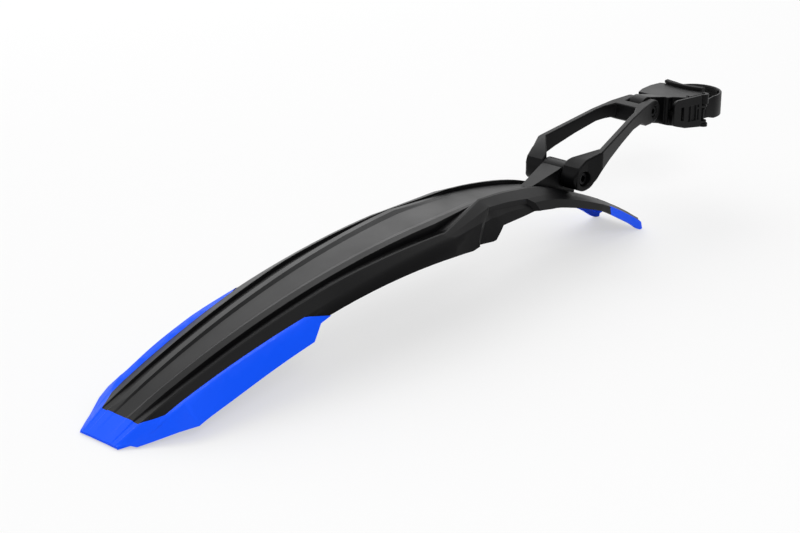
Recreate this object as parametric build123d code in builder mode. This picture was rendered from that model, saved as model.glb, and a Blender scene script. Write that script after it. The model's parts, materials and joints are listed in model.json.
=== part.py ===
"""Rear bicycle mudguard: faceted blade, two-legged arm and ratchet strap clamp for a seatpost.

Millimetres. The origin is on the seatpost's axis at the strap's mid-height, +X points to the front
of the bicycle, +Y to its left and +Z up along the seatpost. The blade lies as it rests on a floor.
"""
import os
from math import cos, radians, sin, sqrt

from build123d import *

# Hinge line, from the seatpost back to the tail
clamp_reach = 75.5
clamp_pivot_rise = 10.5
arm_reach = 105.0
arm_rise = 26.5
pivot_station = 447.5
knuckle_rise = 13.13

# Blade, stations measured forward from the tail edge and heights from the resting plane
blade_length = 530.0
crest_station = 320.0
crest_height = 69.8
rear_radius = 810.0
front_radius = 390.0
wall = 2.4
flank_wall = 5.6
tail_thickness = 2.2
notch_station = 6.4
corner_station = 9.2
panel_end = 17.5
trim_bend = 32.0
flare_station = 43.6
relief_station = 84.0
trim_corner = 144.0
trim_front = 158.0
shoulder_bend = 185.0
arch_station = 230.0
groove_end = 283.0
step_foot = 310.0
step_corner = 336.0
step_end = 380.0
gusset_station = 405.0
nose_trim_length = 48.0
ridge_rise = 1.1
ridge_edge_rise = 0.4
step_depth = 3.2
step_run_out = 10.0
plan_reach = 60.0
under_floor = -5.0
trim_margin = 1.0
rear_pieces = 12
front_pieces = 13

# Lower hinge
knuckle_radius = 10.0
knuckle_half = 9.3
hinge_gap = 0.3
gusset_length = 41.0
gusset_tip = 3.8
gusset_half = 8.6
ear_radius = 9.5
ear_outer = 25.0
ear_round = 2.0
blade_bolt_radius = 3.0
blade_head_radius = 5.0
blade_head_height = 6.0
blade_key_across = 5.0
blade_nut_across = 10.0
blade_nut_height = 5.0
blade_head_recess = 7.0
blade_nut_recess = 6.5

# Upper hinge
tongue_radius = 10.5
tongue_half = 6.2
end_radius = 9.0
end_outer = 12.0
clamp_bolt_radius = 2.5
clamp_head_radius = 4.25
clamp_head_height = 2.7
clamp_key_across = 4.0
clamp_nut_across = 8.0
clamp_nut_height = 2.7
clamp_head_recess = 3.2
clamp_nut_recess = 3.2

# Arm
leg_start = 14.5
leg_outer = 30.8
leg_inner = 25.2
cross_bar = 8.5
bore_clearance = 0.05
head_clearance = 0.6
tongue_clearance = 1.6

# Seatpost strap
post_diameter = 34.9
post_fit = 0.15
liner_thickness = 1.5
liner_width = 17.0
liner_start = -40.0
strap_thickness = 2.0
strap_width = 18.2
ladder_width = 15.0
ladder_start = 6.0
ladder_taper = 38.0
ladder_tip = 10.0
tooth_height = 0.8
tooth_pitch = 3.0
tooth_slope = 2.4
tooth_width = 11.0
tooth_count = 14
tooth_root = 0.2
run_margin = 1.7
run_angle = 10.0
run_length = 50.0
anchor_run = 24.0
anchor_eye_radius = 2.6
anchor_pin_radius = 1.4
slide_gap = 0.3

# Clamp block
block_bottom = -11.2
pin_bottom = -9.0
pin_recess = 0.8
block_top = 16.0
block_rear = 53.0
block_round = 4.5
channel_half = 7.9
seat_depth = 21.0
seat_end = 18.2
seat_half = 18.0
rim_width = 4.5
rim_height = 2.4

# Ratchet buckle, measured along the strap's run and out from the seatpost's axis
lever_pin_run = 18.9
lever_pin_out = 26.8
lever_pin_radius = 1.25
lever_boss_radius = 4.2
lever_eye_radius = 3.2
lever_outer = 30.2
lever_plate = 2.4
lever_start = 23.6
lever_end = 54.5
lever_bottom = -9.8
lever_knee = 41.6
lever_knee_bottom = -7.7
lever_end_bottom = -3.8
lever_top = 16.2
lever_round = 5.0
lever_foot_round = 2.5
grip_slot = 45.1
grip_width = 3.0
grip_height = 10.8
grip_level = 4.4
panel_start = 27.0
panel_stop = 38.8
panel_height = 12.4
panel_level = 3.1
panel_depth = 1.0
panel_ribs = (29.4, 35.6)
rib_width = 1.4
flange_outer = 7.4
flange_thickness = 1.8
pawl_offset = 3.0
pawl_eye_radius = 1.25
pawl_pin_radius = 0.6
pawl_half = 2.6
holding_pin_run = 34.4
holding_pin_out = 24.7
holding_pin_radius = 1.2
holding_eye_radius = 2.2
holding_half = 5.2
spring_wire = 0.6
spring_radius = 1.85
spring_pitch = 0.75


def arc_drop(radius, run):
    """Fall of a circle below its crest at a horizontal run."""
    return radius - sqrt(radius * radius - run * run)


def spine(x):
    """Height of the blade's centre line: a flat tail plate, then two arcs that meet at the crest."""
    if x >= crest_station:
        return crest_height - arc_drop(front_radius, x - crest_station)
    if x >= panel_end:
        return crest_height - arc_drop(rear_radius, crest_station - x)
    return tail_thickness + (spine(panel_end) - tail_thickness) * x / panel_end


# Derived places
pivot_height = spine(pivot_station) + knuckle_rise
tail_x = -(clamp_reach + arm_reach + pivot_station)
floor_z = clamp_pivot_rise - arm_rise - pivot_height
bore_radius = post_diameter / 2 + post_fit
strap_inner = bore_radius + liner_thickness
strap_outer = strap_inner + strap_thickness
tooth_top = strap_outer + tooth_height
nose_start = blade_length - nose_trim_length
hinge_x = -clamp_reach - arm_reach
hinge_z = clamp_pivot_rise - arm_rise

SIDE = Plane(origin=(tail_x, 0, floor_z), x_dir=(1, 0, 0), z_dir=(0, -1, 0))
PLAN = Plane(origin=(tail_x, 0, floor_z))
BLADE_PIVOT = Plane(origin=(hinge_x, 0, hinge_z), x_dir=(1, 0, 0), z_dir=(0, -1, 0))
CLAMP_PIVOT = Plane(origin=(-clamp_reach, 0, clamp_pivot_rise), x_dir=(1, 0, 0), z_dir=(0, -1, 0))


def station(x):
    """Section plane across the blade, x forward of the tail edge."""
    return Plane(origin=(tail_x + x, 0, floor_z), x_dir=(0, 1, 0), z_dir=(1, 0, 0))


def along(x, stops):
    """Value at station x on the straight runs between (station, value) stops."""
    if x <= stops[0][0]:
        return stops[0][1]
    for (x0, v0), (x1, v1) in zip(stops, stops[1:]):
        if x <= x1:
            return v0 + (v1 - v0) * (x - x0) / (x1 - x0)
    return stops[-1][1]


def mirrored(half):
    """Closed outline from its half, listed from the centre line outwards."""
    return half + [(x, -y) for x, y in reversed(half)]


def near(s, t):
    """Place s along the strap's near run and t out from the seatpost's axis."""
    turn = radians(run_angle)
    return (-s * cos(turn) - t * sin(turn), s * sin(turn) - t * cos(turn))


def far(s, t):
    """The same place on the strap's far run."""
    x, y = near(s, t)
    return (x, -y)


def level(z):
    """Plan plane through the clamp at a height."""
    return Plane(origin=(0, 0, z))


# Half-widths of the blade's long edges, from the centre outwards
band_half = ((panel_end, 5.0), (groove_end, 11.7), (step_corner, 9.0), (gusset_station, 5.0))
ridge_half = ((panel_end, 6.6), (groove_end, 16.5), (step_corner, 12.5), (gusset_station, 7.5))
panel_half = (
    (0, 11.0), (panel_end, 11.6), (groove_end, 21.5), (step_corner, 14.6), (gusset_station, 9.5),
    (nose_start, 11.0),
)
groove_run = ((0, 0.4), (panel_end, 0.9), (groove_end, 0.9), (step_corner, 0.2))
shoulder_half = (
    (0, 14.8), (panel_end, 17.2), (groove_end, 30.2), (step_corner, 15.3), (gusset_station, 10.8),
    (nose_start, 14.5),
)
shoulder_lip = ((groove_end, 1.2), (step_corner, 1.6), (gusset_station, 3.0))
flank_half = (
    (0, 16.9), (notch_station, 20.4), (corner_station, 21.9), (trim_bend, 24.4), (flare_station, 25.5),
    (trim_front, 34.2), (groove_end, 34.8), (step_corner, 25.5), (step_end, 24.5), (gusset_station, 21.5),
    (pivot_station, 20.5), (nose_start, 21.3), (blade_length, 18.0),
)
fold_half = (
    (0, 17.1), (notch_station, 21.7), (corner_station, 24.4), (trim_bend, 27.0), (flare_station, 28.4),
    (relief_station, 31.8), (trim_front, 37.0), (groove_end, 38.3), (step_corner, 31.5), (step_end, 28.6),
    (gusset_station, 26.0), (pivot_station, 24.5), (nose_start, 24.6), (blade_length, 20.8),
)
edge_half = (
    (0, 17.6), (notch_station, 21.9), (corner_station, 24.7), (flare_station, 42.7), (trim_front, 43.0),
    (groove_end, 41.8), (step_corner, 40.0), (step_end, 33.0), (gusset_station, 29.0), (pivot_station, 27.0),
    (nose_start, 26.0), (blade_length, 22.0),
)

# Heights of those edges above (+) or below (-) the centre line
relief_share = (
    (0, 0.05), (panel_end, 0.2), (flare_station, 0.8), (relief_station, 1.0), (groove_end, 1.0),
    (step_corner, 0.1),
)
groove_rise = (
    (0, -0.1), (panel_end, -0.5), (flare_station, -1.9), (relief_station, -2.4), (shoulder_bend, -2.4),
    (groove_end, -5.4), (step_corner, 1.4), (gusset_station, 1.6), (nose_start, -0.4),
)
shoulder_rise = (
    (0, 0.0), (panel_end, -0.2), (shoulder_bend, -0.1), (groove_end, -3.9), (step_corner, 2.6),
    (gusset_station, 3.0), (pivot_station, 0.6), (nose_start, -0.7),
)
flank_rise = (
    (0, -0.05), (notch_station, -2.4), (corner_station, -3.3), (panel_end, -3.4), (trim_bend, -2.5),
    (flare_station, -2.4), (trim_front, -4.6), (groove_end, -5.8), (step_corner, -1.0), (step_end, -2.0),
    (gusset_station, -1.2), (pivot_station, -1.8), (nose_start, -2.3),
)
fold_rise = (
    (0, -0.1), (notch_station, -3.4), (corner_station, -5.7), (panel_end, -5.3), (trim_bend, -4.0),
    (flare_station, -2.8), (relief_station, -3.4), (trim_front, -6.6), (groove_end, -7.5),
    (step_corner, -5.3), (step_end, -4.8), (gusset_station, -3.8), (pivot_station, -4.0), (nose_start, -3.6),
)
edge_rise = (
    (0, -2.0), (notch_station, -3.6), (corner_station, -6.0), (panel_end, -8.4), (flare_station, -12.6),
    (relief_station, -15.5), (trim_front, -18.8), (groove_end, -24.0), (step_corner, -21.0),
    (step_end, -13.5), (gusset_station, -10.0), (pivot_station, -9.8), (nose_start - 6.0, -9.2),
    (nose_start + 8.0, -10.7), (blade_length - 15.0, -11.2), (blade_length, -8.6),
)

# Wall thickness of the top and of the flanks, and how far each flank edge moves in and down with it
top_wall = ((0, tail_thickness - 0.6), (panel_end, wall))
side_wall = (
    (0, tail_thickness - 0.6), (panel_end, wall), (groove_end, wall), (step_foot, flank_wall),
    (gusset_station, flank_wall), (pivot_station, wall),
)
flank_inset = ((0, 0.3), (notch_station, 0.8), (corner_station, 0.6), (panel_end, 0.4), (flare_station, 0.3))
flank_sink = ((0, 0.95), (notch_station, 0.6), (corner_station, 0.75), (panel_end, 0.95))
fold_inset = ((0, 0.3), (notch_station, 0.9), (corner_station, 0.9), (flare_station, 0.7))
fold_sink = ((0, 0.9), (notch_station, 0.1), (corner_station, 0.1), (trim_bend, 0.9))
edge_inset = ((0, 0.3), (notch_station, 0.95))


def half_skin(x, depth, flank_depth):
    """Half outline of the blade at a station, from the centre out, set in by a depth."""
    base = spine(x)
    relief = along(x, relief_share)
    panel = along(x, panel_half) - depth * 0.5
    shoulder = along(x, shoulder_half)
    run = along(x, groove_run)
    rise = base + along(x, shoulder_rise)
    floor = base + along(x, groove_rise)
    return [
        (along(x, band_half), base - depth),
        (along(x, ridge_half), base + relief * ridge_rise - depth),
        (panel, base + relief * ridge_edge_rise - depth),
        (panel + run, floor - depth),
        (shoulder - run + depth * 0.1, floor - depth),
        (shoulder + depth * 0.1, rise - depth),
        (shoulder + along(x, shoulder_lip) - depth * 0.3, rise - 0.3 - depth),
        (
            along(x, flank_half) - flank_depth * along(x, flank_inset),
            base + along(x, flank_rise) - flank_depth * along(x, flank_sink),
        ),
        (
            along(x, fold_half) - flank_depth * along(x, fold_inset),
            base + along(x, fold_rise) - flank_depth * along(x, fold_sink),
        ),
        (along(x, edge_half) - flank_depth * along(x, edge_inset), base + along(x, edge_rise)),
    ]


def wall_section(x):
    """Closed outline of the wall at a station, along its outside and back along its inside."""
    outside = half_skin(x, 0, 0)
    inside = half_skin(x, along(x, top_wall), along(x, side_wall))
    far_outside = [(-y, z) for y, z in reversed(outside)]
    far_inside = [(-y, z) for y, z in inside]
    return far_outside + outside + list(reversed(inside)) + far_inside


def floor_section(x):
    """Closed outline of the recess floor at a station, carried down past the lower edge."""
    half = half_skin(x, 0, step_depth)
    half.append((half[-1][0], half[-1][1] - crest_height / 2))
    return [(-y, z) for y, z in reversed(half)] + half


def even_stations(start, end, pieces):
    """Stations that divide a stretch of the blade evenly."""
    return [start + (end - start) * i / pieces for i in range(pieces + 1)]


tail_stations = (0, notch_station, corner_station, panel_end, trim_bend, flare_station)
rear_stations = even_stations(flare_station, groove_end, rear_pieces)
bend_stations = (groove_end, step_corner)
front_stations = even_stations(step_corner, blade_length, front_pieces)
blade_stretches = (
    (tail_stations, True), (rear_stations, False), (bend_stations, True), (front_stations, False),
)

with BuildPart() as skin:
    for stations, straight in blade_stretches:
        for x in stations:
            with BuildSketch(station(x)):
                with BuildLine():
                    Polyline(wall_section(x), close=True)
                make_face()
        loft(ruled=straight)

# Stepped recess in each front flank, cut down to a floor that follows the flank
with BuildPart() as step_floor:
    for stations, straight in blade_stretches[2:]:
        for x in stations:
            with BuildSketch(station(x)):
                with BuildLine():
                    Polyline(floor_section(x), close=True)
                make_face()
        loft(ruled=straight)

step_exit = step_end + step_run_out
step_outline = [
    (step_foot, plan_reach), (step_foot, along(step_foot, fold_half) + 3.7),
    (step_corner, along(step_corner, flank_half)), (step_end, along(step_end, flank_half)),
    (step_exit, along(step_exit, edge_half)), (step_exit, plan_reach),
]
with BuildPart() as step_pocket:
    with BuildSketch(PLAN):
        with BuildLine():
            Polyline(step_outline, close=True)
        make_face()
        mirror(about=Plane.XZ)
    extrude(amount=crest_height + 5.0)
    add(step_floor.part, mode=Mode.SUBTRACT)

# Knuckle on a tapering gusset
gusset_foot = pivot_station - gusset_length
knuckle_front = pivot_station + knuckle_radius
with BuildPart() as pylon:
    with BuildSketch(SIDE):
        with BuildLine():
            Polyline(
                [
                    (gusset_foot, spine(gusset_foot) - wall * 0.5),
                    (pivot_station - knuckle_radius * 0.7, pivot_height + knuckle_radius * 0.72),
                    (pivot_station, pivot_height),
                    (knuckle_front, pivot_height - 2.0),
                    (knuckle_front, spine(knuckle_front) - wall * 0.4),
                ],
                close=True,
            )
        make_face()
    extrude(amount=knuckle_half, both=True)
    with BuildSketch(PLAN):
        with BuildLine():
            Polyline(
                mirrored(
                    [
                        (gusset_foot, gusset_tip),
                        (pivot_station - knuckle_radius, gusset_half),
                        (knuckle_front, gusset_half),
                    ]
                ),
                close=True,
            )
        make_face()
    extrude(amount=crest_height * 2, mode=Mode.INTERSECT)
    with BuildSketch(SIDE):
        with Locations((pivot_station, pivot_height)):
            Circle(knuckle_radius)
    extrude(amount=knuckle_half, both=True)

# Lower edge cut back between the tail trim and the gusset, as drops below the centre line
lower_drop = (
    (trim_corner - 1.5, 18.5), (trim_front - 5.4, 11.5), (trim_front + 1.7, 10.4), (arch_station, 14.5),
    (step_foot - 8.0, 20.9), (step_foot, 20.1), (step_foot + 20.0, 22.0), (step_corner + 8.0, 14.5),
    (step_exit, 10.4), (gusset_station + 6.0, 10.2),
)
lower_cut = [(x, spine(x) - drop) for x, drop in lower_drop]
lower_close = [(lower_cut[-1][0], under_floor), (lower_cut[0][0], under_floor), lower_cut[0]]
with BuildPart() as shell:
    add(skin.part)
    with BuildSketch(SIDE):
        with BuildLine():
            Polyline(lower_cut[:3])
            ThreePointArc(lower_cut[2], lower_cut[3], lower_cut[4])
            Polyline(lower_cut[4:] + lower_close)
        make_face()
    extrude(amount=plan_reach, both=True, mode=Mode.SUBTRACT)
    add(step_pocket.part, mode=Mode.SUBTRACT)

# Tail trim, outside a line that runs forward from the tail plate
trim_exit = trim_front + 12.0
trim_region = [
    (-trim_margin, 0), (panel_end, 0), (panel_end, 17.0), (trim_bend, 24.7), (trim_corner, 33.2),
    (trim_front, 40.6), (trim_exit, 47.0), (trim_exit, plan_reach), (-trim_margin, plan_reach),
]
nose_drop = along(nose_start, fold_rise)
nose_mid = (nose_start + blade_length) / 2
nose_end = blade_length + trim_margin
nose_foot = 2 * along(nose_start, edge_rise)
nose_region = [
    (nose_start - 1.0, spine(nose_start) + nose_foot), (nose_start + 1.0, spine(nose_start) + nose_drop),
    (nose_mid, spine(nose_mid) + nose_drop), (nose_end, spine(nose_end) + nose_drop),
    (nose_end, spine(nose_end) + nose_foot),
]
with BuildPart() as tail_form:
    with BuildSketch(PLAN):
        with BuildLine():
            Polyline(trim_region, close=True)
        make_face()
        mirror(about=Plane.XZ)
    extrude(amount=crest_height * 2, both=True)

with BuildPart() as nose_form:
    with BuildSketch(SIDE):
        with BuildLine():
            ThreePointArc(nose_region[1:4])
            Polyline(nose_region[3:] + nose_region[:2])
        make_face()
    extrude(amount=plan_reach)

with BuildPart() as blade_shell:
    add(shell.part)
    add(tail_form.part, mode=Mode.SUBTRACT)
    add(nose_form.part, mode=Mode.SUBTRACT)
    add(mirror(nose_form.part, about=Plane.XZ, mode=Mode.PRIVATE), mode=Mode.SUBTRACT)
    add(pylon.part)
    with BuildSketch(SIDE):
        with Locations((pivot_station, pivot_height)):
            Circle(blade_bolt_radius + bore_clearance)
    extrude(amount=knuckle_half + 1.0, both=True, mode=Mode.SUBTRACT)

with BuildPart() as tail_trim:
    add(shell.part)
    add(tail_form.part, mode=Mode.INTERSECT)

with BuildPart() as nose_trim_right:
    add(shell.part)
    add(nose_form.part, mode=Mode.INTERSECT)

with BuildPart() as nose_trim_left:
    mirror(nose_trim_right.part, about=Plane.XZ)

# Arm, its side outline cut to its plan outline, both measured from the lower hinge
arm_top = [
    (-9.0, 3.0), (-6.0, 9.2), (1.0, 14.0), (16.5, 19.3), (67.5, 31.0), (87.5, 34.2),
    (arm_reach, arm_rise + end_radius),
]
arm_under = [
    (arm_reach - 3.5, arm_rise - end_radius + 0.1), (91.0, 18.5), (82.0, 22.4), (67.5, 21.4), (47.0, 15.7),
    (27.0, 9.0), (14.8, 3.9), (10.4, -2.6), (5.5, -7.0), (-3.5, -8.9),
]
window_end = arm_reach - tongue_radius - tongue_clearance - cross_bar
slot_half = tongue_half + hinge_gap
slot_length = tongue_radius + tongue_clearance + end_radius + 1.0
ear_inner = knuckle_half + hinge_gap
arm_outside = [
    (-ear_radius - 1.0, ear_outer - 2 * ear_round), (-ear_radius + ear_round, ear_outer - 0.4),
    (blade_bolt_radius, ear_outer + 1.2), (leg_start, leg_outer), (arm_reach + 3.5, end_outer),
    (arm_reach + end_radius + 1.0, end_outer),
]
arm_window = [
    (-ear_radius - 2.0, ear_inner), (-1.3, ear_inner), (leg_start + 3.0, leg_inner),
    (window_end - cross_bar, ear_inner + 4.0), (window_end, ear_inner - 0.3),
]
ARM_PLAN = Plane(origin=(hinge_x, 0, 0))
with BuildPart() as arm:
    with BuildSketch(BLADE_PIVOT):
        with BuildLine():
            Polyline(arm_top + arm_under, close=True)
        make_face()
        Circle(ear_radius)
        with Locations((arm_reach, arm_rise)):
            Circle(end_radius)
    extrude(amount=leg_outer + 1.0, both=True)
    with BuildSketch(ARM_PLAN):
        with BuildLine():
            Polyline(mirrored(arm_outside), close=True)
        make_face()
        with BuildLine():
            Polyline(mirrored(arm_window), close=True)
        make_face(mode=Mode.SUBTRACT)
        with Locations((window_end + cross_bar + slot_length / 2, 0)):
            Rectangle(slot_length, 2 * slot_half, mode=Mode.SUBTRACT)
    extrude(amount=arm_reach, both=True, mode=Mode.INTERSECT)
    with BuildSketch(BLADE_PIVOT):
        Circle(blade_bolt_radius + bore_clearance)
    extrude(amount=leg_outer, both=True, mode=Mode.SUBTRACT)
    with BuildSketch(BLADE_PIVOT.offset(ear_outer - blade_head_recess)):
        Circle(blade_head_radius + head_clearance)
    extrude(amount=leg_outer, mode=Mode.SUBTRACT)
    with BuildSketch(BLADE_PIVOT.offset(-ear_outer + blade_nut_recess)):
        RegularPolygon(blade_nut_across / 2, 6, major_radius=False)
    extrude(amount=-leg_outer, mode=Mode.SUBTRACT)
    with BuildSketch(CLAMP_PIVOT):
        Circle(clamp_bolt_radius + bore_clearance)
    extrude(amount=end_outer + 1.0, both=True, mode=Mode.SUBTRACT)
    with BuildSketch(CLAMP_PIVOT.offset(end_outer - clamp_head_recess)):
        Circle(clamp_head_radius + head_clearance / 2)
    extrude(amount=end_outer, mode=Mode.SUBTRACT)
    with BuildSketch(CLAMP_PIVOT.offset(-end_outer + clamp_nut_recess)):
        RegularPolygon(clamp_nut_across / 2, 6, major_radius=False)
    extrude(amount=-end_outer, mode=Mode.SUBTRACT)

# Hinge screws and captive nuts
with BuildPart() as blade_pivot_bolt:
    with BuildSketch(BLADE_PIVOT.offset(ear_outer - blade_head_recess)):
        Circle(blade_head_radius)
    extrude(amount=blade_head_height)
    chamfer(blade_pivot_bolt.edges().sort_by(Axis.Y)[0], length=0.6)
    with BuildSketch(BLADE_PIVOT.offset(ear_outer - blade_head_recess)):
        Circle(blade_bolt_radius)
    extrude(amount=-(2 * ear_outer - blade_head_recess - blade_nut_recess + blade_nut_height + 0.5))
    with BuildSketch(BLADE_PIVOT.offset(ear_outer - blade_head_recess + blade_head_height)):
        RegularPolygon(blade_key_across / 2, 6, major_radius=False)
    extrude(amount=-blade_head_height * 0.55, mode=Mode.SUBTRACT)

with BuildPart() as blade_pivot_nut:
    with BuildSketch(BLADE_PIVOT.offset(-ear_outer + blade_nut_recess)):
        RegularPolygon(blade_nut_across / 2, 6, major_radius=False)
        Circle(blade_bolt_radius, mode=Mode.SUBTRACT)
    extrude(amount=-blade_nut_height)

with BuildPart() as clamp_pivot_bolt:
    with BuildSketch(CLAMP_PIVOT.offset(end_outer - clamp_head_recess)):
        Circle(clamp_head_radius)
    extrude(amount=clamp_head_height)
    chamfer(clamp_pivot_bolt.edges().sort_by(Axis.Y)[0], length=0.5)
    with BuildSketch(CLAMP_PIVOT.offset(end_outer - clamp_head_recess)):
        Circle(clamp_bolt_radius)
    extrude(amount=-(2 * end_outer - clamp_head_recess - clamp_nut_recess + clamp_nut_height + 0.3))
    with BuildSketch(CLAMP_PIVOT.offset(end_outer - clamp_head_recess + clamp_head_height)):
        RegularPolygon(clamp_key_across / 2, 6, major_radius=False)
    extrude(amount=-clamp_head_height * 0.7, mode=Mode.SUBTRACT)

with BuildPart() as clamp_pivot_nut:
    with BuildSketch(CLAMP_PIVOT.offset(-end_outer + clamp_nut_recess)):
        RegularPolygon(clamp_nut_across / 2, 6, major_radius=False)
        Circle(clamp_bolt_radius, mode=Mode.SUBTRACT)
    extrude(amount=-clamp_nut_height)

# Clamp block: core between the strap's runs, cheeks round the buckle, tongue of the upper hinge
core_out = strap_inner - slide_gap
core_front = (seat_end + 0.3 - core_out * sin(radians(run_angle))) / cos(radians(run_angle))
core_rear = (block_rear - core_out * sin(radians(run_angle))) / cos(radians(run_angle))
cheek_outline = [
    near(core_front + 1.5, core_out - 1.8), near(lever_pin_run - lever_boss_radius, 24.5),
    near(lever_pin_run - lever_boss_radius, lever_pin_out),
    near(lever_pin_run + lever_boss_radius, lever_pin_out), near(39.0, lever_pin_out - 0.4),
    near(46.5, core_out - 1.0),
]
far_outline = [(-seat_end, seat_half), (-19.6, 21.4), (-31.0, 23.0), (-44.0, 21.8), (-block_rear, 18.8)]
lower_cheek = -block_bottom - channel_half
upper_cheek = block_top - channel_half
tongue_root = clamp_reach - block_rear + 2.0
anchor_out = strap_inner + strap_thickness / 2
anchor_top = channel_half + 1.5
underside_end = -clamp_reach + tongue_radius
underside = [
    (-seat_end, block_bottom), (-42.0, -9.2), (underside_end, -3.4),
    (underside_end, 2 * block_bottom), (-seat_end, 2 * block_bottom),
]
with BuildPart() as clamp_body:
    with BuildSketch(level(block_bottom)):
        with BuildLine():
            Polyline(far_outline)
            FilletPolyline(
                [far_outline[-1], near(core_rear, core_out), near(core_front, core_out)],
                radius=block_round,
            )
            ThreePointArc(near(core_front, core_out), (-seat_depth, 0), far(core_front, core_out))
            Line(far(core_front, core_out), far_outline[0])
        make_face()
    extrude(amount=block_top - block_bottom)
    for base, thickness in ((block_bottom, lower_cheek), (channel_half, upper_cheek)):
        with BuildSketch(level(base)):
            with BuildLine():
                Polyline(cheek_outline, close=True)
            make_face()
            with Locations(near(lever_pin_run, lever_pin_out)):
                Circle(lever_boss_radius)
        extrude(amount=thickness)
    with BuildSketch(CLAMP_PIVOT):
        Circle(tongue_radius)
        with BuildLine():
            Polyline(
                [
                    (0, tongue_radius), (tongue_root, block_top - clamp_pivot_rise),
                    (tongue_root, -tongue_radius - 6.0), (0, -tongue_radius),
                ],
                close=True,
            )
        make_face()
    extrude(amount=tongue_half, both=True)
    with BuildSketch(CLAMP_PIVOT):
        Circle(clamp_bolt_radius + bore_clearance)
    extrude(amount=tongue_half + 1.0, both=True, mode=Mode.SUBTRACT)
    with BuildSketch(level(-channel_half)):
        with BuildLine():
            Polyline(
                [
                    far(0, core_out), far(anchor_run, core_out),
                    far(anchor_run, strap_outer + slide_gap), far(0, strap_outer + slide_gap),
                ],
                close=True,
            )
        make_face()
        with Locations(far(anchor_run, anchor_out)):
            Circle(anchor_eye_radius + slide_gap)
    extrude(amount=2 * channel_half, mode=Mode.SUBTRACT)
    with BuildSketch(level(block_bottom)):
        with Locations(far(anchor_run, anchor_out)):
            Circle(anchor_pin_radius)
    extrude(amount=anchor_top - block_bottom, mode=Mode.SUBTRACT)
    with BuildSketch(level(block_bottom)):
        with Locations(near(lever_pin_run, lever_pin_out)):
            Circle(lever_pin_radius)
        with Locations(near(holding_pin_run, holding_pin_out)):
            Circle(holding_pin_radius)
    extrude(amount=block_top - block_bottom, mode=Mode.SUBTRACT)
    with BuildSketch(Plane.XZ):
        with BuildLine():
            Polyline(underside, close=True)
        make_face()
    extrude(amount=plan_reach, both=True, mode=Mode.SUBTRACT)

# Rubber pad: it fills the cradle up to the seatpost and carries a rim above the block
rim_edge = -seat_end + rim_width
with BuildPart() as post_pad:
    with BuildSketch(level(block_bottom)):
        with BuildLine():
            ThreePointArc(near(core_front, core_out), (-seat_depth, 0), far(core_front, core_out))
            Polyline(
                [
                    far(core_front, core_out), far(9.0, core_out), (-8.0, 0),
                    near(9.0, core_out), near(core_front, core_out),
                ]
            )
        make_face()
        Circle(bore_radius, mode=Mode.SUBTRACT)
    extrude(amount=block_top - block_bottom)
    with BuildSketch(level(block_top)):
        with BuildLine():
            ThreePointArc((-seat_end, -seat_half), (-seat_depth, 0), (-seat_end, seat_half))
            Line((-seat_end, seat_half), (rim_edge, seat_half))
            ThreePointArc((rim_edge, seat_half), (-seat_depth + rim_width, 0), (rim_edge, -seat_half))
            Line((rim_edge, -seat_half), (-seat_end, -seat_half))
        make_face()
        Circle(bore_radius, mode=Mode.SUBTRACT)
    extrude(amount=rim_height)

# Toothed strap with its anchor eye, and the rubber liner inside it
ladder_edge = [
    (0, strap_width / 2), (ladder_start, ladder_width / 2), (ladder_taper, ladder_width / 2),
    (run_length, ladder_tip / 2), (run_length, strap_width), (0, strap_width),
]
run_turn = radians(run_angle)
NEAR_RUN = Plane(
    origin=(*near(0, strap_outer), 0),
    x_dir=(-cos(run_turn), sin(run_turn), 0),
    z_dir=(sin(run_turn), cos(run_turn), 0),
)
FAR_RUN = Plane(
    origin=(*far(0, strap_outer), 0),
    x_dir=(-cos(run_turn), -sin(run_turn), 0),
    z_dir=(-sin(run_turn), cos(run_turn), 0),
)
with BuildPart() as strap:
    with BuildSketch(level(-strap_width / 2)):
        Circle(strap_outer)
        Circle(strap_inner, mode=Mode.SUBTRACT)
        with BuildLine():
            Polyline(
                [(0, 0), far(0, 3 * strap_outer), (-4 * strap_outer, 0), near(0, 3 * strap_outer)],
                close=True,
            )
        make_face(mode=Mode.SUBTRACT)
        with BuildLine():
            Polyline(
                [
                    near(0, strap_inner), near(run_length, strap_inner),
                    near(run_length, strap_outer), near(0, strap_outer),
                ],
                close=True,
            )
        make_face()
        with BuildLine():
            Polyline(
                [
                    far(0, strap_inner), far(anchor_run, strap_inner),
                    far(anchor_run, strap_outer), far(0, strap_outer),
                ],
                close=True,
            )
        make_face()
        with Locations(far(anchor_run, anchor_out)):
            Circle(anchor_eye_radius)
            Circle(anchor_pin_radius, mode=Mode.SUBTRACT)
    extrude(amount=strap_width)
    with BuildSketch(level(-tooth_width / 2)):
        for i in range(tooth_count):
            root = run_length - run_margin - i * tooth_pitch
            with BuildLine():
                Polyline(
                    [
                        near(root, strap_outer - tooth_root), near(root, tooth_top),
                        near(root + tooth_slope, strap_outer),
                        near(root + tooth_slope, strap_outer - tooth_root),
                    ],
                    close=True,
                )
            make_face()
    extrude(amount=tooth_width)
    for side in (NEAR_RUN, FAR_RUN):
        with BuildSketch(side):
            with BuildLine():
                Polyline(ladder_edge, close=True)
            make_face()
            mirror(about=Plane.XZ)
        extrude(amount=tooth_height + 2 * strap_thickness, both=True, mode=Mode.SUBTRACT)

liner_cut = 3 * strap_inner
liner_corner = (liner_cut * cos(radians(liner_start)), liner_cut * sin(radians(liner_start)))
with BuildPart() as strap_liner:
    with BuildSketch(level(-liner_width / 2)):
        Circle(strap_inner)
        Circle(bore_radius, mode=Mode.SUBTRACT)
        with BuildLine():
            Polyline(
                [(0, 0), far(0, liner_cut), (-2 * liner_cut, 0), (0, -2 * liner_cut), liner_corner],
                close=True,
            )
        make_face(mode=Mode.SUBTRACT)
    extrude(amount=liner_width)

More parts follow.
